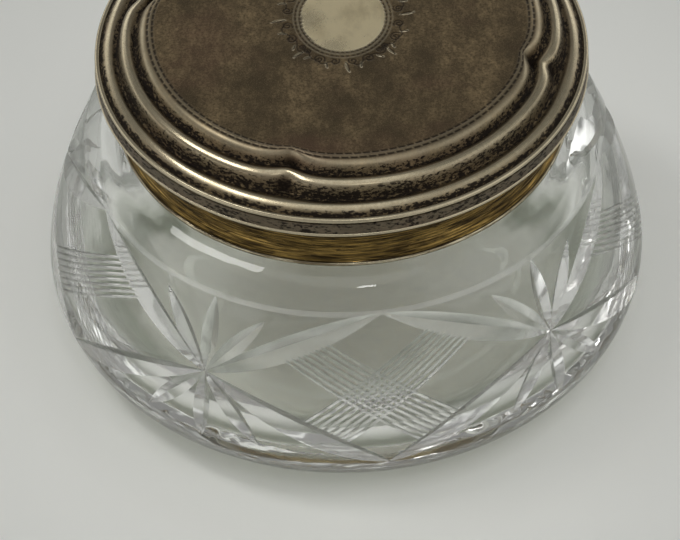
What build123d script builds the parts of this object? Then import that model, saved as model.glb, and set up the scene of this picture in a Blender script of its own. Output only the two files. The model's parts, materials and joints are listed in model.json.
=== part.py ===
from build123d import *
import math
import os

# A squat cut-glass dressing-table jar with a gilt metal collar cemented to its neck
# and a stepped, scalloped lift-off lid.  Millimetres, +Z up, standing on z = 0,
# the jar's axis on the Z axis, the front towards -Y.

# ---- driving dimensions ------------------------------------------------------------
GLASS_R = 66.0      # greatest radius of the glass
BELLY_Z = 16.6      # height of the greatest radius
BASE_R = 45.0       # radius of the flat it stands on
SIDE_FALL = 0.0512  # how fast the side leans in above the belly
NECK_R = 44.6       # outside of the glass neck, inside the collar
NECK_Z = 70.5       # ground rim of the glass
MOUTH_R = 39.5      # mouth opening
FLOOR_Z = 7.8       # inside floor
LID_R = 52.35       # outside of the lid's rolled edge
LID_Z = 81.0        # flat top of the lid
SHEET = 0.7         # lid sheet thickness
WALL = 0.8          # collar sheet thickness
SLIP = 0.05         # running clearance between lid ring and bezel

REPEATS = 5         # diamonds round the glass
FIRST_DIAMOND = 7.0  # azimuth of the front diamond, from -Y towards +X
STAR_Z = 32.6       # height of the stars, left and right corner of each diamond
TOP_Z = 50.0        # upper corner of each diamond
FOOT_Z = 14.2       # lower corner of each diamond
HALF = 180.0 / REPEATS

LOBES = 4           # lobes of the lid
FIRST_CUSP = -15.6  # azimuth of the front cusp, from -Y towards +X

# heights shared by the collar and the lid
FOOT_WIRE_Z = 57.15
WAIST_R = 46.9
LEDGE_Z = 69.0      # top of the collar's ledge
BEZEL_R = 45.8      # outside of the upright bezel
BEZEL_Z = 72.9
STEP_A_R = 50.5     # round lower step of the lid
STEP_A_Z = 75.4
STEP_B_R = 46.9     # middle, scalloped step
STEP_B_Z = 78.8
STEP_C_R = 42.6     # upper, scalloped step
PINCH_B = 1.8       # how far the cusps come in on the middle step
PINCH_C = 2.2       # and on the upper step
FLANGE_Z = 73.2     # underside of the lid's flange

os.makedirs("parts", exist_ok=True)


def side_radius(z):
    """Outside radius of the glass at height z, between base and shoulder."""
    if z > BELLY_Z:
        return GLASS_R - SIDE_FALL * (z - BELLY_Z) ** 1.5
    heel = 1 - ((BELLY_Z - z) / BELLY_Z) ** 2
    return BASE_R + (GLASS_R - BASE_R) * math.sqrt(max(0.0, heel))


def on_glass(azimuth, z):
    """Point on the glass surface and the outward normal there."""
    slope = (side_radius(z + 0.05) - side_radius(z - 0.05)) / 0.1
    tilt = Vector(1, 0, -slope).normalized()
    point = Vector(side_radius(z), 0, z)
    return point.rotate(Axis.Z, azimuth - 90), tilt.rotate(Axis.Z, azimuth - 90)


def lift_to_glass(point, outward):
    """Distance from a point inside the glass outline to the surface, going outward."""
    low, high = 0.0, 12.0
    for _ in range(40):
        reach = (low + high) / 2
        probe = point + outward * reach
        if math.hypot(probe.X, probe.Y) < side_radius(probe.Z):
            low = reach
        else:
            high = reach
    return low


def cut_plan(a1, z1, a2, z2, depth, width):
    """Plane, corners, axis and sweep angle of one V-shaped wheel cut.

    The bottom of the V runs on a circle that leaves the surface at both ends and
    lies `depth` under it half way, in a plane square to the surface.
    """
    start, _ = on_glass(a1, z1)
    finish, _ = on_glass(a2, z2)
    _, normal = on_glass((a1 + a2) / 2, (z1 + z2) / 2)
    chord = (finish - start).normalized()
    outward = (normal - chord * normal.dot(chord)).normalized()
    middle = (start + finish) * 0.5
    half = (finish - start).length / 2
    rise = lift_to_glass(middle, outward) - depth
    radius = (half**2 + rise**2) / (2 * abs(rise))
    height = depth * 2.2
    spread = height * width / 2 / depth
    bulge = math.copysign(1.0, rise)
    centre = middle + outward * (rise - bulge * radius)
    side = chord.cross(outward)
    half_sweep = math.degrees(math.asin(half / radius) + 1.2 / radius)
    ray = (outward * bulge).rotate(Axis((0, 0, 0), side), -half_sweep)
    plane = Plane(origin=centre, x_dir=ray, z_dir=ray.cross(side))
    brim = radius + bulge * height
    corners = [(radius, 0), (brim, spread), (brim, -spread)]
    return plane, corners, Axis(centre, side), 2 * half_sweep


def diamond_cuts(azimuth):
    """The four long mitres of one diamond and the six petals of the star beside it."""
    cuts = []
    for side in (-HALF, HALF):
        for corner in (TOP_Z, FOOT_Z):
            cuts.append((azimuth + side, STAR_Z, azimuth, corner, 1.8, 5.6))
    star = azimuth + HALF
    for up in (-1, 1):
        for lean, rise in ((-11.5, 14.5), (0.0, 17.0), (11.5, 14.5)):
            cuts.append((star, STAR_Z, star + lean, STAR_Z + up * rise, 1.2, 3.6))
    return cuts


def scallop(radius, pinch):
    """Points of a round outline drawn in, smoothly, at the lobes' cusps."""
    points = []
    for lobe in range(LOBES):
        for off in (-32, -22, -14, -9, -4.5, 0, 4.5, 9, 14, 22, 32, 45):
            share = math.exp(-((min(off, 40) / 7.0) ** 2))
            points.append(polar(radius - pinch * share, FIRST_CUSP + lobe * 360.0 / LOBES + off))
    return points


def polar(radius, azimuth):
    """Plan position at an azimuth counted from -Y towards +X."""
    turn = math.radians(azimuth)
    return (radius * math.sin(turn), -radius * math.cos(turn))


# ---- the jar -----------------------------------------------------------------------
with BuildPart() as glass_bowl:
    with BuildSketch(Plane.XZ):
        with BuildLine():
            Polyline((0, 0.8), (36, 0.8), (38, 0), (BASE_R, 0))
            EllipticalCenterArc(
                (BASE_R, BELLY_Z), GLASS_R - BASE_R, BELLY_Z, start_angle=270, arc_size=90
            )
            side = [(side_radius(z), z) for z in (BELLY_Z, 22, 28, 34, 40, 46, 50)]
            shoulder = [(52.7, 53.6), (50.2, 55.2), (47.8, 56.2), (46.0, 57.3), (NECK_R, 59.6)]
            Spline(side + shoulder, tangents=[(0, 1), (0, 1)])
            Polyline((NECK_R, 59.6), (NECK_R, NECK_Z), (MOUTH_R, NECK_Z), (MOUTH_R, 61))
            inside = [(MOUTH_R, 61), (46.5, 51), (54.6, 38), (59.4, 23), (53, 10.6), (40, FLOOR_Z)]
            Spline(inside, tangents=[(0, -1), (-1, 0)])
            Line((40, FLOOR_Z), (0, FLOOR_Z))
            Line((0, FLOOR_Z), (0, 0.8))
        make_face()
    revolve(axis=Axis.Z)
    for repeat in range(REPEATS):
        for cut in diamond_cuts(FIRST_DIAMOND + repeat * 360.0 / REPEATS):
            plane, corners, axis, sweep = cut_plan(*cut)
            with BuildSketch(plane):
                with BuildLine():
                    Polyline(*corners, close=True)
                make_face()
            revolve(axis=axis, revolution_arc=sweep, mode=Mode.SUBTRACT)
glass_bowl.part.label = "glass_bowl"
export_step(glass_bowl.part, "parts/glass_bowl.step")

with BuildPart() as cement_bed:
    with BuildSketch(Plane.XY.offset(59.6)):
        Circle(46.0)
        Circle(NECK_R, mode=Mode.SUBTRACT)
    extrude(amount=LEDGE_Z - WALL - 59.6)
cement_bed.part.label = "cement_bed"
export_step(cement_bed.part, "parts/cement_bed.step")

with BuildPart() as collar_band:
    with BuildSketch(Plane.XZ):
        with BuildLine():
            foot_out = (48.2, 57.7)
            Spline(
                [foot_out, (47.3, 59.4), (WAIST_R, 61.8), (47.2, 64.4), (48.6, 66.7), (51.6, 68.2)],
                tangents=[(-0.8, 1), (1, 0.25)],
            )
            Polyline((51.6, 68.2), (51.6, LEDGE_Z), (45.0, LEDGE_Z), (45.0, LEDGE_Z - WALL))
            Line((45.0, LEDGE_Z - WALL), (48.9, LEDGE_Z - WALL))
            Spline(
                [(48.9, LEDGE_Z - WALL), (47.6, 66.7), (46.4, 64.4), (WAIST_R - WALL, 61.8)]
                + [(46.5, 59.4), (47.4, 57.7)],
                tangents=[(-1, -0.8), (0.8, -1)],
            )
            Line((47.4, 57.7), foot_out)
        make_face()
    revolve(axis=Axis.Z)
collar_band.part.label = "collar_band"
export_step(collar_band.part, "parts/collar_band.step")

with BuildPart() as collar_foot_wire:
    with BuildSketch(Plane.XZ):
        with Locations((48.25, FOOT_WIRE_Z)):
            Circle(0.5)
    revolve(axis=Axis.Z)
collar_foot_wire.part.label = "collar_foot_wire"
export_step(collar_foot_wire.part, "parts/collar_foot_wire.step")

with BuildPart() as collar_bezel:
    with BuildSketch(Plane.XY.offset(LEDGE_Z)):
        Circle(BEZEL_R)
        Circle(BEZEL_R - WALL, mode=Mode.SUBTRACT)
    extrude(amount=BEZEL_Z - LEDGE_Z)
    fillet(collar_bezel.edges().group_by(Axis.Z)[-1], radius=0.3)
collar_bezel.part.label = "collar_bezel"
export_step(collar_bezel.part, "parts/collar_bezel.step")

# ---- the lid -----------------------------------------------------------------------
with BuildPart() as lid_liner_ring:
    with BuildSketch(Plane.XY.offset(LEDGE_Z + 0.3)):
        Circle(BEZEL_R + SLIP + WALL)
        Circle(BEZEL_R + SLIP, mode=Mode.SUBTRACT)
    extrude(amount=4.5)
lid_liner_ring.part.label = "lid_liner_ring"
export_step(lid_liner_ring.part, "parts/lid_liner_ring.step")

with BuildPart() as lid_lining:
    with BuildSketch(Plane.XZ):
        with BuildLine():
            ring_out = BEZEL_R + WALL + 2 * SLIP
            pan_z = STEP_A_Z - SHEET
            Polyline(
                (0, pan_z - 0.5), (ring_out, pan_z - 0.5), (ring_out, LEDGE_Z + 0.6),
                (ring_out + 0.55, LEDGE_Z + 0.6), (ring_out + 0.55, pan_z - 0.5),
                (STEP_A_R - SHEET - 0.1, pan_z - 0.5), (STEP_A_R - SHEET - 0.1, pan_z),
                (0, pan_z), close=True,
            )
        make_face()
    revolve(axis=Axis.Z)
lid_lining.part.label = "lid_lining"
export_step(lid_lining.part, "parts/lid_lining.step")

with BuildPart() as lid_cover:
    with BuildSketch(Plane.XY.offset(FLANGE_Z)):
        Circle(LID_R - 1.25)
    extrude(amount=SHEET)
    with BuildSketch(Plane.XY.offset(FLANGE_Z)):
        Circle(STEP_A_R)
    extrude(amount=STEP_A_Z - FLANGE_Z)
    with BuildSketch(Plane.XY.offset(STEP_A_Z - SHEET)):
        with BuildLine():
            Spline(scallop(STEP_B_R, PINCH_B), periodic=True)
        make_face()
    extrude(amount=STEP_B_Z - STEP_A_Z + SHEET)
    with BuildSketch(Plane.XY.offset(STEP_B_Z - SHEET)):
        with BuildLine():
            Spline(scallop(STEP_C_R, PINCH_C), periodic=True)
        make_face()
    extrude(amount=LID_Z - STEP_B_Z + SHEET)
    for height, round_over in ((LID_Z, 0.95), (STEP_B_Z, 1.25), (STEP_A_Z, 1.25)):
        level = lid_cover.edges().filter_by_position(Axis.Z, height - 0.01, height + 0.01)
        fillet(level.sort_by(SortBy.LENGTH)[-1], radius=round_over)
    with BuildSketch(Plane.XY.offset(FLANGE_Z)):
        Circle(STEP_A_R - SHEET)
    extrude(amount=STEP_A_Z - SHEET - FLANGE_Z, mode=Mode.SUBTRACT)
    with BuildSketch(Plane.XY.offset(STEP_A_Z - SHEET)):
        with BuildLine():
            Spline(scallop(STEP_B_R - SHEET - 0.5, PINCH_B), periodic=True)
        make_face()
    extrude(amount=STEP_B_Z - STEP_A_Z, mode=Mode.SUBTRACT)
    with BuildSketch(Plane.XY.offset(STEP_B_Z - SHEET)):
        with BuildLine():
            Spline(scallop(STEP_C_R - SHEET - 0.3, PINCH_C), periodic=True)
        make_face()
    extrude(amount=LID_Z - STEP_B_Z, mode=Mode.SUBTRACT)
lid_cover.part.label = "lid_cover"
export_step(lid_cover.part, "parts/lid_cover.step")

with BuildPart() as lid_edge_wire:
    with BuildSketch(Plane.XZ):
        with Locations((LID_R - 0.6, FLANGE_Z + 0.2)):
            Circle(0.6)
    revolve(axis=Axis.Z)
lid_edge_wire.part.label = "lid_edge_wire"
export_step(lid_edge_wire.part, "parts/lid_edge_wire.step")

with BuildPart() as lid_skirt:
    with BuildSketch(Plane.XY.offset(LEDGE_Z + 1.2)):
        Circle(LID_R)
        Circle(LID_R - 0.6, mode=Mode.SUBTRACT)
    extrude(amount=FLANGE_Z - 0.4 - LEDGE_Z - 1.2)
lid_skirt.part.label = "lid_skirt"
export_step(lid_skirt.part, "parts/lid_skirt.step")

with BuildPart() as lid_skirt_wire:
    with BuildSketch(Plane.XZ):
        with Locations((LID_R - 0.2, LEDGE_Z + 0.75)):
            Circle(0.4)
    revolve(axis=Axis.Z)
lid_skirt_wire.part.label = "lid_skirt_wire"
export_step(lid_skirt_wire.part, "parts/lid_skirt_wire.step")
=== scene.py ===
import itertools
import json
import math
import bpy
import numpy as np
from mathutils import Matrix, Vector

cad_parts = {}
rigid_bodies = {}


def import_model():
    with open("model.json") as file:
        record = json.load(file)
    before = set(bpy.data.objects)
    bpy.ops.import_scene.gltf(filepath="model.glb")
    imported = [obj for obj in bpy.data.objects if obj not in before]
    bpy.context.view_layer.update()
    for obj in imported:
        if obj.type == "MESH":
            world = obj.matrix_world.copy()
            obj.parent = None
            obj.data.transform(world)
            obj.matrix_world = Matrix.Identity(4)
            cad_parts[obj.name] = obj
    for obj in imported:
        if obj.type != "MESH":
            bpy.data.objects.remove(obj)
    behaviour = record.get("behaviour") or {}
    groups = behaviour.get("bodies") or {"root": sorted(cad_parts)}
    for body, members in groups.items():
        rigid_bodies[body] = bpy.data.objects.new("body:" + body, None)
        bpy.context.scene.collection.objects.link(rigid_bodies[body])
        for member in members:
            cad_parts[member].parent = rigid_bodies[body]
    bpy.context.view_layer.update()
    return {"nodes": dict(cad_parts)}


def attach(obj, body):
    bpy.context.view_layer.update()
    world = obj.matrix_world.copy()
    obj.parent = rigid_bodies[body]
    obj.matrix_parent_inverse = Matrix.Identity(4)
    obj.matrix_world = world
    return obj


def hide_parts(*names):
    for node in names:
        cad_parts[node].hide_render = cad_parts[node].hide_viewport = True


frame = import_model()

MM = 0.001

# ---- sizes shared with the CAD, in millimetres ------------------------------------
GLASS_R = 66.0          # greatest radius of the glass
BELLY_Z = 16.6          # height of the greatest radius
BASE_R = 45.0           # radius of the flat that it stands on
SIDE_FALL = 0.0512      # how fast the side leans in above the belly
NECK_R = 44.6           # outside of the glass neck
NECK_Z = 70.5           # ground rim of the glass
MOUTH_R = 39.5
FLOOR_Z = 7.8           # inside floor of the bowl
HOLLOW_Z = 0.8          # hollow under the base
REPEATS = 5             # diamonds round the glass
FIRST_DIAMOND = 7.0     # azimuth of the front diamond, from -Y towards +X
STAR_Z = 32.6           # height of the stars, at each diamond's left and right corner
TOP_Z = 50.0            # upper corner of each diamond
FOOT_Z = 14.2           # lower corner
HALF = 180.0 / REPEATS
LOBES = 4               # lobes of the lid
FIRST_CUSP = -15.6      # azimuth of the front cusp
LEDGE_Z = 69.0          # top of the collar's ledge
BEZEL_R = 45.8          # outside of the upright ring under the lid
BEZEL_Z = 72.9
FLANGE_Z = 73.2         # underside of the lid's flange
LID_R = 52.35           # outside of the lid's rolled edge
PLATEAU_Z = 80.75       # flat middle of the lid

RING_STEPS = 288        # facets round the turned parts


# ---- mesh helpers -------------------------------------------------------------------
def make_object(name, points, faces, material, smooth_angle=30.0):
    """A mesh object from millimetre points, smooth below the given edge angle."""
    mesh = bpy.data.meshes.new(name)
    mesh.from_pydata([tuple(p) for p in np.asarray(points, float) * MM], [], faces)
    mesh.validate()
    mesh.polygons.foreach_set("use_smooth", [True] * len(mesh.polygons))
    mesh.set_sharp_from_angle(angle=math.radians(smooth_angle))
    piece = bpy.data.objects.new(name, mesh)
    bpy.context.scene.collection.objects.link(piece)
    mesh.materials.append(material)
    return piece


def spin(name, outline, material):
    """A ring turned from a closed (radius, height) outline, listed anticlockwise."""
    turn = np.linspace(0, 2 * math.pi, RING_STEPS, endpoint=False)
    r, z = np.array(outline, float).T
    count = len(r)
    x = r[None, :] * np.sin(turn)[:, None]
    y = -r[None, :] * np.cos(turn)[:, None]
    points = np.stack([x, y, np.broadcast_to(z, x.shape)], -1).reshape(-1, 3)
    faces = []
    for i in range(RING_STEPS):
        j = (i + 1) % RING_STEPS
        for k in range(count):
            m = (k + 1) % count
            faces.append((i * count + k, j * count + k, j * count + m, i * count + m))
    return make_object(name, points, faces, material)


def round_wire(name, radius, height, thickness, material):
    """A round wire ring."""
    turn = np.linspace(0, 2 * math.pi, 20, endpoint=False)
    outline = [(radius + thickness * math.cos(t), height + thickness * math.sin(t)) for t in turn]
    return spin(name, outline, material)


def smooth_line(knots, per_span):
    """Catmull-Rom points through the knots."""
    knots = [np.array(k, float) for k in knots]
    padded = [2 * knots[0] - knots[1]] + knots + [2 * knots[-1] - knots[-2]]
    points = []
    for i in range(1, len(padded) - 2):
        p0, p1, p2, p3 = padded[i - 1:i + 3]
        for t in np.linspace(0, 1, per_span, endpoint=False):
            a = 2 * p1 + (p2 - p0) * t + (2 * p0 - 5 * p1 + 4 * p2 - p3) * t * t
            points.append(0.5 * (a + (3 * p1 - p0 - 3 * p2 + p3) * t ** 3))
    points.append(knots[-1])
    return points


# ---- material helpers ---------------------------------------------------------------
def new_material(name):
    material = bpy.data.materials.new(name)
    material.use_nodes = True
    tree = material.node_tree
    shader = tree.nodes["Principled BSDF"]
    return material, tree, shader


def node(tree, kind, inputs=None, **settings):
    """A node with its settings and its inputs, given as values or as sockets."""
    made = tree.nodes.new(kind)
    for key, value in settings.items():
        setattr(made, key, value)
    for key, value in (inputs or {}).items():
        if isinstance(value, bpy.types.NodeSocket):
            tree.links.new(value, made.inputs[key])
        else:
            made.inputs[key].default_value = value
    return made


def place(tree, scale=(1, 1, 1)):
    """Object coordinates in millimetres times a scale."""
    source = node(tree, "ShaderNodeTexCoord").outputs["Object"]
    factor = tuple(1000.0 * s for s in scale)
    return node(tree, "ShaderNodeVectorMath", {0: source, 1: factor},
                operation="MULTIPLY").outputs[0]


def place_parts(tree):
    """X, Y and Z in millimetres, and the distance from the jar's axis."""
    parts = node(tree, "ShaderNodeSeparateXYZ", {"Vector": place(tree)}).outputs
    flat = node(tree, "ShaderNodeCombineXYZ", {"X": parts["X"], "Y": parts["Y"]}).outputs[0]
    radius = node(tree, "ShaderNodeVectorMath", {0: flat}, operation="LENGTH").outputs["Value"]
    return parts, radius


def place_round(tree, along, across):
    """Coordinates that follow the rings: arc length at a 45 mm radius, radius and height."""
    parts, radius = place_parts(tree)
    away = calc(tree, "MULTIPLY", parts["Y"], -1.0)
    turn = calc(tree, "MULTIPLY", calc(tree, "ARCTAN2", parts["X"], away), 45.0 * along)
    radius = calc(tree, "MULTIPLY", radius, across)
    high = calc(tree, "MULTIPLY", parts["Z"], across)
    return node(tree, "ShaderNodeCombineXYZ", {"X": turn, "Y": radius, "Z": high}).outputs[0]


def noise(tree, vector, scale, detail=4.0, rough=0.55):
    return node(tree, "ShaderNodeTexNoise", {"Vector": vector, "Scale": scale,
                "Detail": detail, "Roughness": rough}).outputs["Fac"]


def ramp(tree, value, low, high, start=0.0, end=1.0):
    """value mapped from low..high to start..end, clamped."""
    return node(tree, "ShaderNodeMapRange", {"Value": value, "From Min": low, "From Max": high,
                "To Min": start, "To Max": end}).outputs["Result"]


def mix(tree, share, first, second):
    made = node(tree, "ShaderNodeMix", data_type="RGBA")
    sockets = {s.identifier: s for s in made.inputs}
    for key, value in (("Factor_Float", share), ("A_Color", first), ("B_Color", second)):
        if isinstance(value, bpy.types.NodeSocket):
            tree.links.new(value, sockets[key])
        else:
            sockets[key].default_value = value if key == "Factor_Float" else (*value, 1.0)
    return next(s for s in made.outputs if s.identifier == "Result_Color")


def calc(tree, operation, first, second=0.0, clamp=False):
    return node(tree, "ShaderNodeMath", {0: first, 1: second}, operation=operation,
                use_clamp=clamp).outputs[0]


def bump(tree, height, distance, strength=1.0):
    return node(tree, "ShaderNodeBump", {"Height": height, "Distance": distance,
                "Strength": strength}).outputs["Normal"]


def tone(colour, level):
    """The colour made lighter or darker."""
    return tuple(level * c for c in colour)


# ---- materials ----------------------------------------------------------------------
def glass_material():
    """Clear glass with painted shade at its heel and rim, and a satin finish inside the cuts."""
    material, tree, shader = new_material("clear_cut_glass")
    where = place(tree)
    cloud = noise(tree, where, 0.05, 2.0)
    tint = mix(tree, ramp(tree, cloud, 0.35, 0.65), (0.950, 0.959, 0.939), (0.957, 0.965, 0.947))
    parts, radius = place_parts(tree)
    # painted shade: darker at the heel, and near black where the surface turns away
    heel = calc(tree, "MULTIPLY", ramp(tree, parts["Z"], 4.0, 11.5, 1.0, 0.0),
                ramp(tree, radius, 45.0, 51.0))
    tint = mix(tree, heel, tint, (0.46, 0.49, 0.42))
    facing = node(tree, "ShaderNodeLayerWeight", {"Blend": 0.5}).outputs["Facing"]
    tint = mix(tree, ramp(tree, facing, 0.42, 0.84), tint, (0.08, 0.09, 0.07))
    tree.links.new(tint, shader.inputs["Base Color"])
    # painted shade: reflections darkened where the surface turns away
    rim = mix(tree, ramp(tree, facing, 0.38, 0.80), (1.0, 1.0, 1.0), (0.25, 0.28, 0.22))
    tree.links.new(rim, shader.inputs["Specular Tint"])
    haze = ramp(tree, noise(tree, where, 0.35, 5.0), 0.45, 0.75, 0.0, 0.03)
    # the wheel leaves a satin, slightly milky face
    ground = node(tree, "ShaderNodeAttribute", attribute_name="ground").outputs["Fac"]
    satin = ramp(tree, noise(tree, where, 0.25, 3.0), 0.3, 0.7, 0.11, 0.15)
    satin = calc(tree, "MULTIPLY", satin, ground)
    tree.links.new(calc(tree, "ADD", haze, satin), shader.inputs["Roughness"])
    clear = ramp(tree, ground, 0.0, 1.0, 1.0, 0.84)
    tree.links.new(clear, shader.inputs["Transmission Weight"])
    shader.inputs["IOR"].default_value = 1.52
    wave = bump(tree, noise(tree, where, 0.09, 2.0), 0.00035, 0.5)
    tree.links.new(wave, shader.inputs["Normal"])
    return material


def finish_channels(tree):
    """Tarnish, polish and engraving with painted shade in the dimples, painted on the lid's
    vertices.
    """
    paint = node(tree, "ShaderNodeAttribute", attribute_name="finish")
    return node(tree, "ShaderNodeSeparateColor", {"Color": paint.outputs["Color"]}).outputs


def silver_ground(tree, base, broad, fine):
    """Brown tarnish: clouds, streaks and specks round the base colour, reddish in patches."""
    streak = noise(tree, place(tree, (1.0, 0.55, 1.0)), 0.9, 5.0, 0.68)
    grain = noise(tree, place(tree), 4.2, 3.0, 0.7)
    blotch = noise(tree, place(tree, (1.0, 1.3, 1.0)), 0.05, 3.0)
    colour = mix(tree, ramp(tree, broad, 0.38, 0.62), tone(base, 0.48), tone(base, 1.68))
    colour = mix(tree, ramp(tree, streak, 0.42, 0.62, 0.0, 0.68), colour, tone(base, 0.48))
    colour = mix(tree, ramp(tree, fine, 0.42, 0.62, 0.0, 0.72), colour, tone(base, 0.4))
    colour = mix(tree, ramp(tree, grain, 0.5, 0.7, 0.0, 0.45), colour, tone(base, 1.9))
    return mix(tree, ramp(tree, blotch, 0.52, 0.72, 0.0, 0.3), colour, (0.17, 0.085, 0.062))


def silver_material(name, painted=False, base=(0.178, 0.130, 0.070), bright=(0.62, 0.545, 0.38),
                    pitting=0.45, shine_level=0.35):
    """Old silver: brown tarnish, black pits in the hollows, worn bright on the ridges."""
    material, tree, shader = new_material(name)
    broad = noise(tree, place(tree, (1.0, 0.6, 1.0)), 0.13, 5.0, 0.62)
    fine = noise(tree, place(tree), 1.7, 5.0, 0.7)
    pits = noise(tree, place_round(tree, 0.55, 1.0), 1.9, 5.0, 0.68)
    patch = noise(tree, place_round(tree, 0.45, 0.8), 0.30, 3.0)
    if painted:
        tarnish, polish, engrave = finish_channels(tree)[:3]
    else:
        tarnish, polish, engrave = pitting, shine_level, 0.0

    # bright metal where it is worn, and the paler polished plate in the middle of the lid
    worn = calc(tree, "MULTIPLY", ramp(tree, fine, 0.3, 0.62, 0.6, 1.0),
                ramp(tree, patch, 0.3, 0.62, 0.72, 1.0))
    shine = calc(tree, "MULTIPLY", polish, worn, True)
    colour = mix(tree, shine, silver_ground(tree, base, broad, fine), bright)
    plate = ramp(tree, polish, 1.0, 1.6) if painted else 0.0
    plate_share = calc(tree, "MULTIPLY", plate, ramp(tree, broad, 0.3, 0.7, 1.0, 0.7))
    plate_tone = mix(tree, ramp(tree, broad, 0.48, 0.64, 0.0, 0.6), (1.0, 0.86, 0.55),
                     (0.66, 0.53, 0.29))
    colour = mix(tree, plate_share, colour, plate_tone)

    # shade and black pits in the hollows, and dark engraving, which also carries painted shade in
    # the lid's dimples
    black = calc(tree, "ADD", pits, calc(tree, "MULTIPLY", tarnish, 0.17))
    black = calc(tree, "ADD", black, ramp(tree, patch, 0.3, 0.7, -0.055, 0.055))
    black = ramp(tree, black, 0.585, 0.65)
    black = calc(tree, "MULTIPLY", black, ramp(tree, tarnish, 0.08, 0.4), True)
    shade = calc(tree, "MULTIPLY", ramp(tree, tarnish, 0.1, 1.0), 0.5)
    colour = mix(tree, shade, colour, tone(base, 0.42))
    colour = mix(tree, calc(tree, "MULTIPLY", black, 0.93), colour, (0.016, 0.012, 0.010))
    colour = mix(tree, calc(tree, "MULTIPLY", engrave, 0.9), colour, (0.020, 0.014, 0.010))
    tree.links.new(colour, shader.inputs["Base Color"])
    shader.inputs["Metallic"].default_value = 0.92

    # smoothest where it shines, roughest in the pits
    rough = calc(tree, "ADD", ramp(tree, shine, 0.0, 0.85, 0.47, 0.13),
                 calc(tree, "MULTIPLY", black, 0.3))
    rough = calc(tree, "ADD", rough, ramp(tree, fine, 0.3, 0.7, -0.04, 0.06))
    rough = calc(tree, "ADD", rough, calc(tree, "MULTIPLY", plate, 0.18))
    tree.links.new(rough, shader.inputs["Roughness"])
    relief = calc(tree, "SUBTRACT", fine, calc(tree, "MULTIPLY", black, 0.5))
    relief = calc(tree, "MULTIPLY", relief, ramp(tree, shine, 0.0, 0.7, 1.0, 0.08))
    tree.links.new(bump(tree, relief, 0.00005, 0.6), shader.inputs["Normal"])
    return material


def gilt_material(name, base, dark, roughness):
    """Turned brass or gilt: fine lines round it, brown in patches, and painted shadow of the lid
    towards the top.
    """
    material, tree, shader = new_material(name)
    streak = noise(tree, place(tree, (0.035, 0.035, 1.0)), 3.78, 4.0, 0.7)
    broad = noise(tree, place_round(tree, 0.25, 1.0), 0.35, 4.0, 0.65)
    speck = noise(tree, place_round(tree, 0.4, 1.0), 1.3, 3.0)
    colour = mix(tree, ramp(tree, streak, 0.40, 0.62), dark, base)
    colour = mix(tree, ramp(tree, broad, 0.42, 0.66, 0.0, 0.75), colour, dark)
    colour = mix(tree, ramp(tree, speck, 0.62, 0.70, 0.0, 0.8), colour, (0.02, 0.013, 0.008))
    shader.inputs["Metallic"].default_value = 0.97
    # painted shadow: darker towards the top, where the lid's shadow falls
    high = node(tree, "ShaderNodeSeparateXYZ", {"Vector": place(tree)}).outputs["Z"]
    colour = mix(tree, ramp(tree, high, 63.0, 67.5, 0.0, 0.55), colour, dark)
    tree.links.new(colour, shader.inputs["Base Color"])
    rough = ramp(tree, streak, 0.3, 0.7, roughness + 0.07, roughness - 0.05)
    tree.links.new(rough, shader.inputs["Roughness"])
    tree.links.new(bump(tree, streak, 0.00005, 0.7), shader.inputs["Normal"])
    return material


def plaster_material():
    material, tree, shader = new_material("neck_plaster")
    grit = noise(tree, place(tree), 1.1, 6.0, 0.7)
    colour = mix(tree, ramp(tree, grit, 0.3, 0.7), (0.62, 0.58, 0.49), (0.74, 0.71, 0.63))
    tree.links.new(colour, shader.inputs["Base Color"])
    shader.inputs["Roughness"].default_value = 0.9
    tree.links.new(bump(tree, grit, 0.0002, 0.5), shader.inputs["Normal"])
    return material


def floor_material():
    material, tree, shader = new_material("pale_floor")
    grain = noise(tree, place(tree), 0.02, 3.0)
    colour = mix(tree, ramp(tree, grain, 0.3, 0.7), (0.730, 0.740, 0.708), (0.755, 0.765, 0.732))
    # painted light: a pool of light round the jar and under its middle, and a ring of painted
    # shade below its heel, at the floor's plain tone
    _, away = place_parts(tree)
    colour = mix(tree, ramp(tree, away, 80.0, 150.0, 1.0, 0.0), colour, (0.93, 0.94, 0.905))
    colour = mix(tree, ramp(tree, away, 55.0, 63.0, 1.0, 0.0), colour, (0.74, 0.75, 0.71))
    colour = mix(tree, ramp(tree, away, 42.0, 54.0, 1.0, 0.0), colour, (0.96, 0.97, 0.935))
    tree.links.new(colour, shader.inputs["Base Color"])
    shader.inputs["Roughness"].default_value = 0.75
    return material


GLASS = glass_material()
LID_SILVER = silver_material("lid_silver", painted=True)
WIRE_SILVER = silver_material("wire_silver", base=(0.30, 0.25, 0.18), pitting=0.1,
                              shine_level=0.9)
SKIRT_SILVER = silver_material("skirt_silver", base=(0.082, 0.055, 0.036), pitting=0.42,
                               shine_level=0.25)
GILT_COLLAR = gilt_material("gilt_collar", (0.36, 0.235, 0.07), (0.022, 0.014, 0.006), 0.13)
GILT_WIRE = gilt_material("gilt_wire", (0.66, 0.60, 0.44), (0.16, 0.125, 0.075), 0.11)
GILT_INNER = gilt_material("gilt_inner", (0.74, 0.58, 0.30), (0.42, 0.30, 0.13), 0.26)
PLASTER = plaster_material()


# ---- the cut glass ------------------------------------------------------------------
def side_radius(z):
    """Outside radius of the glass at height z, between base and shoulder."""
    if z > BELLY_Z:
        return GLASS_R - SIDE_FALL * (z - BELLY_Z) ** 1.5
    heel = 1 - ((BELLY_Z - z) / BELLY_Z) ** 2
    return BASE_R + (GLASS_R - BASE_R) * math.sqrt(max(0.0, heel))


def plan_turn(azimuth):
    """Unit direction in plan at an azimuth counted from -Y towards +X."""
    a = math.radians(azimuth)
    return Vector((math.sin(a), -math.cos(a), 0))


def on_glass(azimuth, z):
    """Point on the outside of the glass and the outward normal there."""
    slope = (side_radius(z + 0.05) - side_radius(z - 0.05)) / 0.1
    out = plan_turn(azimuth)
    point = out * side_radius(z) + Vector((0, 0, z))
    return point, (out + Vector((0, 0, -slope))).normalized()


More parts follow.
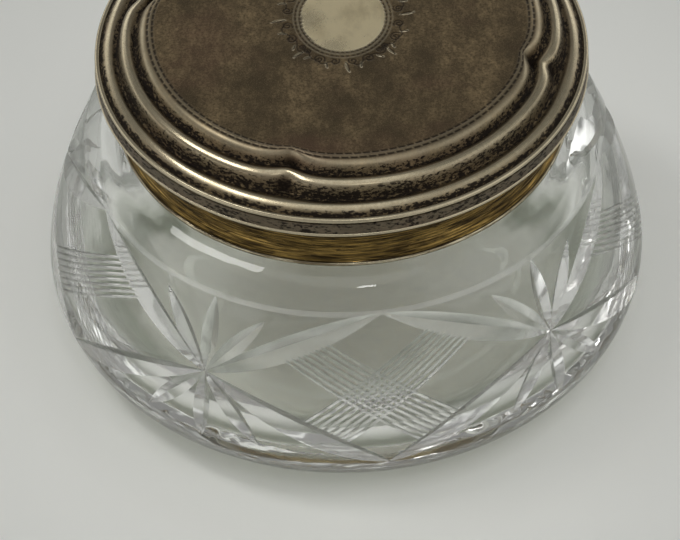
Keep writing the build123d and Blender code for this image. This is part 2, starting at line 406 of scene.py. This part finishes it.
def lift_to_glass(point, outward):
    """Distance from a point to the surface, going outward (or back, if negative)."""
    low, high = -6.0, 12.0
    for _ in range(40):
        reach = (low + high) / 2
        probe = point + outward * reach
        if math.hypot(probe.x, probe.y) < side_radius(probe.z):
            low = reach
        else:
            high = reach
    return low


FLATTEST = 0.02         # least rise of a wheel's path over its chord


def wheel_cut(name, a1, z1, a2, z2, depth, width, end_depth, sections, overrun):
    """A V-shaped tool along the surface, deepest half way between its ends."""
    start, n1 = on_glass(a1, z1)
    finish, n2 = on_glass(a2, z2)
    start -= n1 * end_depth
    finish -= n2 * end_depth
    _, normal = on_glass((a1 + a2) / 2, (z1 + z2) / 2)
    chord = (finish - start).normalized()
    outward = (normal - chord * normal.dot(chord)).normalized()
    middle = (start + finish) / 2
    half = (finish - start).length / 2
    rise = lift_to_glass(middle, outward) - depth
    if abs(rise) < FLATTEST:
        rise = FLATTEST
    bulge = math.copysign(1.0, rise)
    radius = (half ** 2 + rise ** 2) / (2 * abs(rise))
    centre = middle + outward * (rise - bulge * radius)
    side = chord.cross(outward)
    sweep = math.asin(min(1.0, half / radius)) + overrun / radius
    height = depth * 2.0 + 0.5      # the tool stands well clear of the glass
    spread = height * width / 2 / depth
    points = []
    for i in range(sections + 1):
        angle = sweep * (2.0 * i / sections - 1)
        ray = outward * bulge * math.cos(angle) + chord * math.sin(angle)
        brim = centre + ray * (radius + bulge * height)
        points += [centre + ray * radius, brim + side * spread, brim - side * spread]
    faces = [(0, 1, 2), tuple(3 * sections + k for k in (2, 1, 0))]
    for i in range(sections):
        for k in range(3):
            m = (k + 1) % 3
            faces.append((3 * i + k, 3 * i + 3 + k, 3 * i + 3 + m, 3 * i + m))
    mesh = bpy.data.meshes.new(name)
    mesh.from_pydata([tuple(p * MM) for p in points], [], faces)
    mesh.validate()
    tool = bpy.data.objects.new(name, mesh)
    flip_if_inside_out(mesh)
    return tool


def flip_if_inside_out(mesh):
    """Makes a closed mesh's faces point outward."""
    volume = 0.0
    for polygon in mesh.polygons:
        corners = [mesh.vertices[v].co for v in polygon.vertices]
        for k in range(1, len(corners) - 1):
            volume += corners[0].dot(corners[k].cross(corners[k + 1]))
    if volume < 0:
        mesh.flip_normals()


HATCH_LINES = 8         # fine lines in each band of the crosshatch
HATCH_PITCH = 1.28
HATCH_SLANT = 37.0      # degrees from level
ARC_R = 62.6            # radius at which the pattern's widths are laid out
SIDE_STRETCH = 1.06     # length along the glass per unit of height
HATCH_TURN = -1.7       # degrees by which the crosshatch sits off the diamond's middle
HATCH_DROP = 1.3        # and how far its middle sits below the diamond's
HATCH_CUT = (0.38, 0.72, 0.32, 16, 0.0)     # depth, width, depth at the ends, steps, overrun
MITRE_CUT = (1.9, 5.7, 0.12, 30, 1.0)
PETAL_CUT = (1.25, 3.9, 0.10, 20, 0.6)


def hatch_cuts(azimuth):
    """The two crossing bands of fine lines in a diamond, from side to side."""
    wide = math.radians(HALF) * ARC_R
    tall = (TOP_Z - FOOT_Z) / 2 * SIDE_STRETCH
    mid_z = (TOP_Z + FOOT_Z) / 2
    shift = math.radians(HATCH_TURN) * ARC_R
    drop = HATCH_DROP * SIDE_STRETCH
    cuts = []
    for lean in (-1, 1):
        ux = math.cos(math.radians(HATCH_SLANT))
        uy = lean * math.sin(math.radians(HATCH_SLANT))
        for line in range(HATCH_LINES):
            off = (line - (HATCH_LINES - 1) / 2) * HATCH_PITCH
            ends = []
            for way in (-1, 1):
                reach = max(t for t in np.arange(0, 30, 0.1)
                            if abs(shift - uy * off + way * ux * t) / wide
                            + abs(ux * off + way * uy * t - drop) / tall < 1.0)
                x = shift - uy * off + way * ux * reach
                y = ux * off + way * uy * reach - drop
                ends += [azimuth + math.degrees(x / ARC_R), mid_z + y / SIDE_STRETCH]
            cuts.append((*ends, *HATCH_CUT))
    return cuts


def mitre_cuts(azimuth):
    """The four long mitres round a diamond and the petals of the star beside it."""
    cuts = []
    for side in (-HALF, HALF):
        for corner in (TOP_Z, FOOT_Z):
            cuts.append((azimuth + side, STAR_Z, azimuth, corner, *MITRE_CUT))
    star = azimuth + HALF
    for up in (-1, 1):
        for lean, rise in ((-11.5, 14.5), (0.0, 17.0), (11.5, 14.5)):
            cuts.append((star, STAR_Z, star + lean, STAR_Z + up * rise, *PETAL_CUT))
    return cuts


def glass_outline():
    """The glass's section: base, heel, side, shoulder, neck, rim, and the inside back down."""
    heel = [(BASE_R + (GLASS_R - BASE_R) * math.sin(t), BELLY_Z * (1 - math.cos(t)))
            for t in np.linspace(0, math.pi / 2, 22)]
    side = [(side_radius(z), z) for z in np.arange(BELLY_Z + 0.9, TOP_Z + 0.3, 0.8)]
    last = side[-1]
    shoulder = smooth_line([last, (52.7, 53.6), (50.2, 55.2), (47.8, 56.2), (46.0, 57.3),
                            (NECK_R, 59.6)], 5)[1:]
    rim = [(NECK_R, 65.0), (NECK_R, NECK_Z - 0.5), (NECK_R - 0.5, NECK_Z),
           (MOUTH_R + 0.6, NECK_Z), (MOUTH_R, NECK_Z - 0.6)]
    inside = smooth_line([(MOUTH_R, 66), (MOUTH_R, 61), (42.0, 55.6), (46.5, 51), (51.2, 45),
                          (54.6, 38), (57.6, 30.5), (59.0, 23), (57.6, 15.5), (52.6, 10.4),
                          (46, 8.2), (38, FLOOR_Z)], 5)
    floor = [(26.0, FLOOR_Z), (12.0, FLOOR_Z)]
    under = [(12.0, HOLLOW_Z), (26.0, HOLLOW_Z), (36, HOLLOW_Z), (38, 0), (41.5, 0)]
    return heel, side, shoulder, rim, inside, floor, under


def wedge(azimuth, columns):
    """One fifth of the glass, from star to star about a diamond, as a closed solid."""
    heel, side, shoulder, rim, inside, floor, under = glass_outline()
    ring = heel + side + shoulder + rim + inside + floor
    ring = [tuple(p) for p in ring]
    loop = ring + [(0.0, FLOOR_Z), (0.0, HOLLOW_Z)] + under
    turn = [plan_turn(a) for a in np.linspace(azimuth - HALF, azimuth + HALF, columns + 1)]
    points = []
    index = {}
    for c, out in enumerate(turn):
        for k, (r, z) in enumerate(loop):
            key = (0 if r == 0.0 else c, k)
            if key not in index:
                index[key] = len(points)
                points.append(out * r + Vector((0, 0, z)))
    count = len(loop)

    def at(c, k):
        return index[(0 if loop[k][0] == 0.0 else c, k)]

    faces = []
    for c in range(columns):
        for k in range(count):
            m = (k + 1) % count
            corners = [at(c, k), at(c + 1, k), at(c + 1, m), at(c, m)]
            kept = [v for i, v in enumerate(corners) if v not in corners[:i]]
            if len(kept) > 2:
                faces.append(kept)
    faces.append([at(0, k) for k in range(count)])
    faces.append([at(columns, k) for k in reversed(range(count))])
    mesh = bpy.data.meshes.new("wedge")
    mesh.from_pydata([tuple(p * MM) for p in points], [], faces)
    mesh.validate()
    flip_if_inside_out(mesh)
    return mesh


def build_glass():
    """Cuts one wedge with the wheel tools and turns copies of it all the way round."""
    blank = bpy.data.objects.new("wedge", wedge(FIRST_DIAMOND, 80))
    scene = bpy.context.scene
    scene.collection.objects.link(blank)
    tools = bpy.data.collections.new("wheel_tools")
    scene.collection.children.link(tools)
    # this diamond's cuts, and those of its neighbours that reach into the wedge
    plans = mitre_cuts(FIRST_DIAMOND) + hatch_cuts(FIRST_DIAMOND)
    plans += mitre_cuts(FIRST_DIAMOND + 2 * HALF)[:2]
    plans += mitre_cuts(FIRST_DIAMOND - 2 * HALF)[2:]
    for number, plan in enumerate(plans):
        tools.objects.link(wheel_cut(f"wheel_{number}", *plan))
    cutter = blank.modifiers.new("cut", "BOOLEAN")
    cutter.operation = "DIFFERENCE"
    cutter.operand_type = "COLLECTION"
    cutter.collection = tools
    cutter.solver = "EXACT"
    graph = bpy.context.evaluated_depsgraph_get()
    cut = bpy.data.meshes.new_from_object(blank.evaluated_get(graph))
    points = np.array([v.co for v in cut.vertices]) * 1000.0
    # the wedge's two flat sides are left out, so that the copies join
    faces = []
    for polygon in cut.polygons:
        corners = points[list(polygon.vertices)]
        corners = corners[np.hypot(corners[:, 0], corners[:, 1]) > 0.01]
        off = np.degrees(np.arctan2(corners[:, 0], -corners[:, 1])) - FIRST_DIAMOND
        if np.all(np.abs(np.abs(off) - HALF) < 1e-3):
            continue
        faces.append(list(polygon.vertices))
    for thing in list(tools.objects):
        bpy.data.objects.remove(thing)
    bpy.data.collections.remove(tools)
    bpy.data.objects.remove(blank)
    all_points = []
    all_faces = []
    for repeat in range(REPEATS):
        a = math.radians(repeat * 2 * HALF)
        turn = np.array([[math.cos(a), -math.sin(a), 0], [math.sin(a), math.cos(a), 0], [0, 0, 1]])
        all_points.append(points @ turn.T)
        all_faces += [[repeat * len(points) + v for v in face] for face in faces]
    return np.concatenate(all_points), all_faces


def weld(points, faces, step=0.004):
    """Joins points that fall in the same place."""
    nearby = list(itertools.product((0, -1, 1), repeat=3))
    keys = {}
    target = np.zeros(len(points), int)
    kept = []
    for i, key in enumerate(map(tuple, np.round(points / step).astype(int))):
        cells = ((key[0] + dx, key[1] + dy, key[2] + dz) for dx, dy, dz in nearby)
        found = next((keys[cell] for cell in cells if cell in keys), None)
        if found is None:
            found = len(kept)
            keys[key] = found
            kept.append(points[i])
        target[i] = found
    clean = []
    for face in faces:
        mapped = [target[v] for v in face]
        mapped = [v for i, v in enumerate(mapped) if v != mapped[i - 1]]
        if len(set(mapped)) > 2:
            clean.append([int(v) for v in mapped])
    return np.array(kept), clean


CUT_FROM = 0.09         # a face this far inside the side's curve was left by the wheel


def glass_normals(piece):
    """True normals on the uncut surface and a mark on the faces left by the wheel."""
    mesh = piece.data
    normals = [Vector(n.vector) for n in mesh.corner_normals]
    ground = [0.0] * len(mesh.polygons)
    for polygon in mesh.polygons:
        centre = polygon.center * 1000.0
        if not 1.0 < centre.z < TOP_Z + 0.2:
            continue
        depth = side_radius(centre.z) - math.hypot(centre.x, centre.y)
        # the inside of the bowl lies deeper still, and keeps its polish
        if depth > CUT_FROM:
            ground[polygon.index] = 1.0 if depth < 3.0 else 0.0
            continue
        for corner in polygon.loop_indices:
            v = mesh.vertices[mesh.loops[corner].vertex_index].co * 1000.0
            z = min(max(v.z, 0.6), TOP_Z + 0.2)
            _, true = on_glass(math.degrees(math.atan2(v.x, -v.y)), z)
            if true.dot(polygon.normal) > 0.985:
                normals[corner] = true
    mesh.normals_split_custom_set([tuple(n) for n in normals])
    mesh.attributes.new("ground", "FLOAT", "FACE").data.foreach_set("value", ground)


glass_points, glass_faces = weld(*build_glass())
glass = make_object("cut_glass_bowl", glass_points, glass_faces, GLASS, 21.0)
glass_normals(glass)
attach(glass, "jar")
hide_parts("glass_bowl")


# ---- the collar ---------------------------------------------------------------------
def turned(knots, per_span, groove, pitch):
    """A smooth outline with fine turning lines of the given depth."""
    line = smooth_line(knots, per_span)
    out = [tuple(line[0])]
    for i in range(1, len(line) - 1):
        along = line[i + 1] - line[i - 1]
        side = np.array([along[1], -along[0]]) / np.linalg.norm(along)
        wave = math.sin(2 * math.pi * line[i][1] / pitch)
        out.append(tuple(line[i] + side * groove * wave))
    out.append(tuple(line[-1]))
    return out


collar_out = turned([(48.2, 57.7), (47.3, 59.4), (46.9, 61.8), (47.2, 64.4), (48.6, 66.7),
                     (51.4, 68.25)], 14, -0.05, 0.62)
collar_in = [(45.0, LEDGE_Z), (45.0, 68.2), (48.9, 68.2), (47.6, 66.7), (46.4, 64.4),
             (46.1, 61.8), (46.5, 59.4), (47.4, 57.75)]
collar = spin("collar_spool", collar_out + [(51.58, 68.4), (51.6, 68.8), (51.45, LEDGE_Z)]
              + collar_in, GILT_COLLAR)
foot_wire = round_wire("collar_foot_bead", 48.25, 57.15, 0.5, GILT_WIRE)
bezel = spin("collar_upstand", [(BEZEL_R - 0.8, LEDGE_Z), (BEZEL_R, LEDGE_Z),
             (BEZEL_R, BEZEL_Z - 0.3), (BEZEL_R - 0.12, BEZEL_Z - 0.06), (BEZEL_R - 0.4, BEZEL_Z),
             (BEZEL_R - 0.68, BEZEL_Z - 0.06), (BEZEL_R - 0.8, BEZEL_Z - 0.3)], GILT_INNER)
for piece, cad, paint in ((collar, "collar_band", "gilt_collar"),
                          (foot_wire, "collar_foot_wire", "gilt_wire"),
                          (bezel, "collar_bezel", "gilt_bezel")):
    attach(piece, "jar")
    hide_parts(cad)
# the plaster bed keeps its CAD shape
bed_slots = frame["nodes"]["cement_bed"].data.materials
bed_slots.clear()
bed_slots.append(PLASTER)


# ---- the lid ------------------------------------------------------------------------
# radius and height of the lid's top, from its flat middle over three beads to the rim
LID_KNOTS = [(38.6, PLATEAU_Z), (39.25, PLATEAU_Z), (39.85, 80.74), (40.35, 80.70),
             (40.85, 80.62), (41.4, 80.46), (41.95, 80.18), (42.45, 79.76), (42.85, 79.15),
             (43.2, 78.5), (43.7, 78.1), (44.25, 78.25), (44.75, 78.55), (45.25, 78.66),
             (45.75, 78.48), (46.25, 78.2), (46.65, 77.75), (46.95, 76.8), (47.25, 75.6),
             (47.6, 75.0), (48.05, 74.95), (48.5, 75.18), (48.95, 75.27), (49.4, 75.12),
             (49.9, 74.85), (50.4, 74.5), (50.85, 74.0), (51.3, 73.6), (51.7, 73.4)]
DASHES = 136                    # dashes in each row of the engraved border
AROUND = 5 * DASHES
CARTOUCHE = (0.5, 1.2)          # centre in plan
CARTOUCHE_HALF = (8.9, 10.7)    # half width and half length of the polished oval
CARTOUCHE_DASHES = 58           # dashes in each of its two dashed lines


def lid_height():
    """Ring radii of the lid's top and their heights."""
    radii = [1.5, 3.0, 4.5, 6.0, 7.2, 8.0] + list(np.arange(8.6, 17.0, 0.25))
    radii += list(np.arange(17.6, 38.2, 2.4))
    rings = [(r, PLATEAU_Z) for r in radii]
    rings += [tuple(p) for p in smooth_line(LID_KNOTS, 3)]
    return rings


def off_cusp(azimuth):
    """Degrees from the nearest cusp, negative before it."""
    step = 360.0 / LOBES
    return (azimuth - FIRST_CUSP + step / 2) % step - step / 2


def cusp_share(azimuth):
    """How strongly each azimuth is drawn in by the nearest cusp."""
    return np.exp(-(np.abs(off_cusp(azimuth)) / 5.4) ** 1.5)


def pinch(radius):
    """How far a ring of this radius is drawn in at a cusp."""
    return np.interp(radius, [30, 37.5, 39.85, 40.85, 42.2, 43.4, 44.6, 45.9, 47.0, 48.2, 49.2],
                     [0, 0.4, 1.0, 1.35, 2.2, 2.2, 1.9, 1.7, 1.3, 0.45, 0])


def engraving():
    """Scrolls, stems and leaves round the cartouche: dark strokes and bright-cut leaves."""
    dark = []
    bright = []
    cx, cy = CARTOUCHE
    half_x, half_y = CARTOUCHE_HALF

    def at(angle, out):
        """Plan point at an angle from +X and a distance outside the oval."""
        t = math.radians(angle)
        return cx + (half_x + out) * math.cos(t), cy + (half_y + out) * math.sin(t)

    def scroll(angle, out, size, begin, hand):
        x, y = at(angle, out)
        line = []
        for t in np.linspace(0, 1, 40):
            a = math.radians(begin) + hand * 1.45 * 2 * math.pi * t
            r = size * (1 - 0.80 * t)
            line.append((x + r * math.cos(a), y + r * math.sin(a)))
        dark.append((line, 0.21))

    def stem(first, last, out, sway):
        line = []
        for t in np.linspace(0, 1, 30):
            angle = first + (last - first) * t
            line.append(at(angle, out + sway * math.sin(2 * math.pi * t)))
        dark.append((line, 0.18))

    def leaf(angle, out, length, aim):
        x, y = at(angle, out)
        for side, paint in ((-1, bright), (1, dark)):
            line = [(x, y)]
            for t in np.linspace(0, 1, 14)[1:]:
                a = math.radians(aim + side * 24 * (1 - 2 * t))
                px, py = line[-1]
                line.append((px + length / 13 * math.cos(a), py + length / 13 * math.sin(a)))
            paint.append((line, 0.30 if paint is bright else 0.17))

    for quarter in range(4):
        for mirror in (-1, 1):
            if quarter % 2:
                angles = (90.0 * quarter + mirror * a for a in (9, 25, 40, 17, 34))
            else:
                angles = (90.0 * quarter + mirror * a for a in (10, 27, 42, 19, 36))
            near, mid, far, low, high = angles
            scroll(near, 3.0, 1.15, 90.0 * quarter + mirror * 150, mirror)
            scroll(mid, 3.4, 1.30, 90.0 * quarter - mirror * 60, -mirror)
            scroll(far, 2.8, 0.80, 90.0 * quarter + mirror * 100, mirror)
            stem(near, mid, 3.9, 0.5 * mirror)
            stem(mid, far + mirror * 6, 3.4, -0.6 * mirror)
            leaf(low, 3.9, 1.5, low - mirror * 25)
            leaf(high, 3.7, 1.3, high + mirror * 35)
        leaf(90.0 * quarter + 2, 3.3, 3.0, 90.0 * quarter + 12)
        leaf(90.0 * quarter + 47, 3.6, 2.6, 90.0 * quarter + 38)
    return dark, bright


def stroke_depth(x, y, strokes):
    """0 to 1: how close each plan point is to an engraved stroke."""
    depth = np.zeros_like(x)
    for line, width in strokes:
        line = np.array(line)
        low = line.min(axis=0) - 1.0
        high = line.max(axis=0) + 1.0
        near = (x > low[0]) & (x < high[0]) & (y > low[1]) & (y < high[1])
        px, py = x[near], y[near]
        best = np.full(px.shape, 1e9)
        for (x0, y0), (x1, y1) in zip(line[:-1], line[1:]):
            dx, dy = x1 - x0, y1 - y0
            t = np.clip(((px - x0) * dx + (py - y0) * dy) / (dx * dx + dy * dy + 1e-12), 0, 1)
            best = np.minimum(best, np.hypot(px - x0 - t * dx, py - y0 - t * dy))
        depth[near] = np.maximum(depth[near], np.clip(1.25 - best / width, 0, 1))
    return depth


def lid_grid():
    """Radius and azimuth of the rings, and their points as grids of x, y and z."""
    rho, height = np.array(lid_height(), float).T
    azimuth = np.linspace(-180, 180, AROUND, endpoint=False)
    share = cusp_share(azimuth)[None, :]
    lobe = -0.15 * np.cos(np.radians(LOBES * (azimuth - FIRST_CUSP)))[None, :]
    ripple = np.interp(rho, [36, 40, 47, 50], [0, 1, 1, 0])[:, None] * lobe
    radius = rho[:, None] - pinch(rho)[:, None] * share + ripple
    turn = np.radians(azimuth)[None, :]
    z = np.repeat(height[:, None], AROUND, axis=1)
    return rho, azimuth, radius * np.sin(turn), -radius * np.cos(turn), z


def bump_at(values, centre, width):
    """1 at the centre, falling smoothly to 0."""
    return np.exp(-((values - centre) / width) ** 2)


def line_at(values, centre, width, top=1.3):
    """A line of full strength with soft sides."""
    return np.clip(top - np.abs(values - centre) / width, 0, 1)


def lid_finish(rho, azimuth, x, y):
    """Tarnish, polish and engraving at each point, with painted shade in the dimples, and how deep
    the surface is sunk.
    """
    # polished oval with its dashed and plain borders
    px = (x - CARTOUCHE[0]) / CARTOUCHE_HALF[0]
    py = (y - CARTOUCHE[1]) / CARTOUCHE_HALF[1]
    off = (np.hypot(px, py) - 1) * sum(CARTOUCHE_HALF) / 2      # distance outside the oval
    around = np.degrees(np.arctan2(px, py))
    inside = np.clip(1.0 - (off + 0.1) / 0.3, 0, 1)
    dash = np.clip(0.9 + 1.6 * np.sin(np.radians(around * CARTOUCHE_DASHES)), 0, 1)
    engrave = np.maximum(line_at(off, 0.30, 0.17), line_at(off, 1.30, 0.17)) * dash
    dark_lines, bright_lines = engraving()
    cut_dark = stroke_depth(x, y, dark_lines) * (off > 2.0)
    cut_bright = stroke_depth(x, y, bright_lines) * (off > 2.0)
    smudge = 1.4 * np.exp(-((px + 0.80) ** 2 / 0.09 + (py + 0.05) ** 2 / 0.06))
    smudge += 1.2 * np.exp(-((px + 0.25) ** 2 / 0.10 + (py + 0.84) ** 2 / 0.03))

    # two rows of dashes inside the upper bead, and a deep dimple outside each bead's cusp
    step = np.arange(AROUND)
    for row, shift in ((39.85, 0), (40.85, 2)):
        line = line_at(rho, row, 0.20, 1.7)[:, None]
        engrave = np.maximum(engrave, line * ((step + shift) % 5 != 0)[None, :])
    dimple = np.zeros_like(x)
    for floor_r, width in ((43.45, 0.80), (47.1, 0.85)):
        shape = bump_at(rho, floor_r, width)[:, None]
        dimple = np.maximum(dimple, shape * bump_at(off_cusp(azimuth), 0, 2.7)[None, :])

    # bright beads, dark hollows
    polish = np.interp(rho, [39.3, 40.1, 40.9, 41.3], [0, 0.22, 0.32, 0])[:, None]
    for crest, width, level in ((41.9, 0.7, 0.50), (45.75, 0.9, 0.95), (49.45, 0.85, 0.92)):
        polish = np.maximum(polish, level * bump_at(rho, crest, width)[:, None])
    tarnish = 1.15 * bump_at(rho, 50.9, 0.6)[:, None]
    for floor_r in (43.6, 47.5):
        tarnish = np.maximum(tarnish, bump_at(rho, floor_r, 0.85)[:, None])
    polish = np.maximum(polish, inside * (1.6 - 0.24 * np.clip(smudge, 0, 1)))
    polish = np.maximum(polish, 0.55 * line_at(off, 0.8, 0.25, 1.4))
    polish = np.maximum(polish, 0.38 * line_at(off, 1.75, 0.2))
    polish = np.maximum(polish, 0.85 * cut_bright)
    # painted shade in the dimples: their polish is taken out, and they get full tarnish and near
    # black engraving
    polish = polish * (1 - np.clip(dimple * 1.3, 0, 1))
    tarnish = np.maximum(np.broadcast_to(tarnish, x.shape), dimple)
    sunk = 0.12 * engrave + 0.08 * cut_bright + 0.10 * cut_dark + 0.9 * dimple
    engrave = np.maximum(engrave, cut_dark)
    engrave = np.maximum(engrave, np.clip(1.5 * dimple - 0.35, 0, 1))
    return np.stack([tarnish, polish, engrave, np.ones_like(x)], -1), sunk


UNDERSIDE = (               # radius, height and how far the cusps draw in, from rim to hub
    (51.1, FLANGE_Z, 0.0), (49.8, 73.3, 0.0), (49.75, 74.72, 0.0), (46.0, 74.74, 1.9),
    (45.2, 76.3, 1.9), (42.3, 76.9, 2.1), (41.4, 79.6, 2.1),
)


def build_lid_cover():
    """The silver cover: engraved top from the middle out, then a plain underside back in."""
    rho, azimuth, x, y, z = lid_grid()
    finish, sunk = lid_finish(rho, azimuth, x, y)
    points = [(0.0, 0.0, z[0, 0])]
    paint = [(0.0, 1.6, 0.0, 1.0)]
    z = z - sunk
    thinnest = np.interp(rho, [47.0, 47.4, 49.5, 50.0], [70, 74.84, 74.84, 70])
    z = np.maximum(z, thinnest[:, None])
    points += list(np.stack([x, y, z], -1).reshape(-1, 3))
    paint += list(finish.reshape(-1, 4))
    share = cusp_share(azimuth)
    turn = np.radians(azimuth)
    for r, level, draw in UNDERSIDE:
        reach = r - draw * share
        points += list(zip(reach * np.sin(turn), -reach * np.cos(turn), [level] * AROUND))
        paint += [(0.3, 0.2, 0.0, 1.0)] * AROUND
    hub = len(points)
    points.append((0, 0, UNDERSIDE[-1][1]))
    paint.append((0.3, 0.2, 0.0, 1.0))
    rings = (hub - 1) // AROUND
    last = 1 + (rings - 1) * AROUND
    faces = [(0, 1 + j, 1 + (j + 1) % AROUND) for j in range(AROUND)]
    for start in range(1, last, AROUND):
        for j in range(AROUND):
            k = (j + 1) % AROUND
            faces.append((start + j, start + AROUND + j, start + AROUND + k, start + k))
    faces += [(hub, last + (j + 1) % AROUND, last + j) for j in range(AROUND)]
    piece = make_object("lid_stepped_cover", points, faces, LID_SILVER, 50.0)
    layer = piece.data.color_attributes.new("finish", "FLOAT_COLOR", "POINT")
    layer.data.foreach_set("color", np.array(paint, float).ravel())
    return piece


cover = build_lid_cover()
edge = round_wire("lid_rolled_edge", LID_R - 0.6, FLANGE_Z + 0.2, 0.6, WIRE_SILVER)
skirt_line = turned([(LID_R, 70.2), (LID_R - 0.05, 71.5), (LID_R, 72.8)], 12, -0.03, 0.5)
skirt = spin("lid_band", skirt_line + [(LID_R - 0.6, 72.8), (LID_R - 0.6, 70.2)], SKIRT_SILVER)
skirt_wire = round_wire("lid_band_bead", LID_R - 0.2, LEDGE_Z + 0.75, 0.4, WIRE_SILVER)
wall = BEZEL_R + 0.9
lining = spin("lid_gilt_pan", [(0.5, 74.2), (wall - 0.1, 74.2), (wall, 74.1), (wall, 69.7),
              (wall + 0.25, 69.6), (wall + 0.55, 69.7), (wall + 0.55, 74.0), (wall + 0.8, 74.2),
              (49.7, 74.2), (49.7, 74.7), (0.5, 74.7)], GILT_INNER)
liner = spin("lid_inner_ring", [(BEZEL_R + 0.05, 69.5), (BEZEL_R + 0.25, 69.3),
             (BEZEL_R + 0.65, 69.3), (BEZEL_R + 0.85, 69.5), (BEZEL_R + 0.85, 73.8),
             (BEZEL_R + 0.05, 73.8)], GILT_INNER)
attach(liner, "lid_mount")
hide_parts("lid_liner_ring")
for piece, cad, paint in ((cover, "lid_cover", "tarnished_silver"),
                          (edge, "lid_edge_wire", "silver_wire"),
                          (skirt, "lid_skirt", "brown_silver"),
                          (skirt_wire, "lid_skirt_wire", "skirt_wire"),
                          (lining, "lid_lining", "gilt_lining")):
    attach(piece, "lid")
    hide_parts(cad)


# ---- floor, light and camera --------------------------------------------------------
REACH = 2.5             # half the floor's width, in metres
AIR = -0.0002           # a hair of air under the glass, so that light gets between
floor_mesh = bpy.data.meshes.new("floor")
floor_mesh.from_pydata([(-REACH, -REACH, AIR), (REACH, -REACH, AIR), (REACH, REACH, AIR),
                        (-REACH, REACH, AIR)], [], [(0, 1, 2, 3)])
floor_piece = bpy.data.objects.new("floor", floor_mesh)
bpy.context.scene.collection.objects.link(floor_piece)
floor_mesh.materials.append(floor_material())

world = bpy.data.worlds.new("studio")
bpy.context.scene.world = world
world.use_nodes = True
sky = world.node_tree
toward = node(sky, "ShaderNodeTexCoord").outputs["Generated"]
height = node(sky, "ShaderNodeSeparateXYZ", {"Vector": toward}).outputs["Z"]
level_tone = ramp(sky, height, 0.25, 0.52)
sky_tone = mix(sky, level_tone, (1.75, 1.75, 1.72), (0.26, 0.26, 0.257))
skirting = ramp(sky, height, 0.06, 0.15)                # the room is dark low down
sky_tone = mix(sky, skirting, (0.16, 0.165, 0.155), sky_tone)
SKY_PATCHES = (                 # direction, cosines where it is full and gone, brightness
    ((0.0, -0.99, 0.12), 0.96, 0.84, 0.45),
    ((0.0, -0.64, 0.768), 0.94, 0.75, 0.60),
    ((0.0, -0.22, 0.975), 0.970, 0.93, 1.05),
    ((0.78, -0.30, 0.55), 0.95, 0.80, 1.0),
)
for aim, inner, outer, level in SKY_PATCHES:
    facing = node(sky, "ShaderNodeVectorMath", {0: toward, 1: aim}, operation="DOT_PRODUCT")
    patch = ramp(sky, facing.outputs["Value"], outer, inner)
    sky_tone = mix(sky, patch, sky_tone, tone((1.0, 1.0, 0.985), level))
sky.links.new(sky_tone, sky.nodes["Background"].inputs["Color"])
sky.nodes["Background"].inputs["Strength"].default_value = 0.84


def soft_light(name, toward, away, size, along, brightness):
    """A rectangular light seen from the jar in a direction, its long side along another."""
    facing = Vector(toward).normalized()
    long_side = Vector(along)
    long_side = (long_side - facing * long_side.dot(facing)).normalized()
    short_side = facing.cross(long_side)
    at = facing * away + Vector((0, 0, 0.06))
    data = bpy.data.lights.new(name, "AREA")
    data.shape = "RECTANGLE"
    data.size, data.size_y = size
    data.energy = brightness * math.pi * size[0] * size[1]
    data.color = (1.0, 0.99, 0.97)
    lamp = bpy.data.objects.new(name, data)
    lamp.matrix_world = Matrix(((long_side.x, short_side.x, facing.x, at.x),
                                (long_side.y, short_side.y, facing.y, at.y),
                                (long_side.z, short_side.z, facing.z, at.z),
                                (0, 0, 0, 1)))
    bpy.context.scene.collection.objects.link(lamp)


# name, direction, distance, length and width, direction of the length, brightness
soft_light("window", (-0.47, 0.0, 0.88), 1.6, (0.72, 0.24), (-0.31, 0.33, -0.17), 6.0)
soft_light("lamp", (0.10, -0.55, 0.83), 1.3, (0.09, 0.09), (1, 0, 0), 14.0)

CAMERA_AT = (0.0, -0.56555, 0.59837)    # metres
PITCH = math.radians(46.39)
ROLL = math.radians(-1.557)
YAW = math.radians(-0.1575)
SENSOR = 36.0                           # millimetres, as the lens
LENS = 192.23471
forward = Vector((math.sin(YAW) * math.cos(PITCH), math.cos(YAW) * math.cos(PITCH),
                  -math.sin(PITCH)))
sideways = Vector((math.cos(YAW), -math.sin(YAW), 0))
upward = sideways.cross(forward)
right = sideways * math.cos(ROLL) + upward * math.sin(ROLL)
upward = -sideways * math.sin(ROLL) + upward * math.cos(ROLL)
camera_data = bpy.data.cameras.new("camera")
camera_data.sensor_width = SENSOR
camera_data.lens = LENS
camera = bpy.data.objects.new("camera", camera_data)
camera.matrix_world = Matrix(((right.x, upward.x, -forward.x, CAMERA_AT[0]),
                              (right.y, upward.y, -forward.y, CAMERA_AT[1]),
                              (right.z, upward.z, -forward.z, CAMERA_AT[2]),
                              (0, 0, 0, 1)))
bpy.context.scene.collection.objects.link(camera)
bpy.context.scene.camera = camera
bpy.context.scene.view_settings.view_transform = "Standard"
light_paths = bpy.context.scene.cycles
light_paths.max_bounces = 32
light_paths.glossy_bounces = 32
light_paths.transmission_bounces = 32
light_paths.diffuse_bounces = 8
light_paths.blur_glossy = 0.1       # keeps the light that comes through the glass
